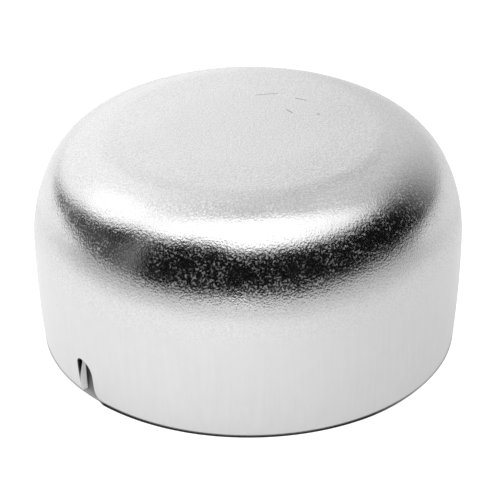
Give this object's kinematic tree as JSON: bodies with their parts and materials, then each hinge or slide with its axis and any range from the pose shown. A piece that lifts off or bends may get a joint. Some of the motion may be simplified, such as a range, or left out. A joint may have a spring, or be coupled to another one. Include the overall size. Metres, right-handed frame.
{
  "type": "hub grease cap",
  "caption": "Drawn steel cup with a rounded shoulder and a low crown, which presses over a wheel hub's boss to keep grease in and dirt out, with a pry slot in its rim.",
  "frame": {"origin": "centre of the rim's plane, on the axis of the cup", "axes": "+Z along the axis from the open mouth to the closed crown; the picture's camera looks along +Y, and the pry slot is at the front left, 139.1 degrees clockwise from +X seen from above"},
  "size_m": [0.0636, 0.0636, 0.0333],
  "materials": {
    "zinc_plated_steel": "bright zinc plate, satin, finely mottled by the drawing"
  },
  "bodies": {
    "root": {"cap": "zinc_plated_steel"}
  },
  "joints": []
}
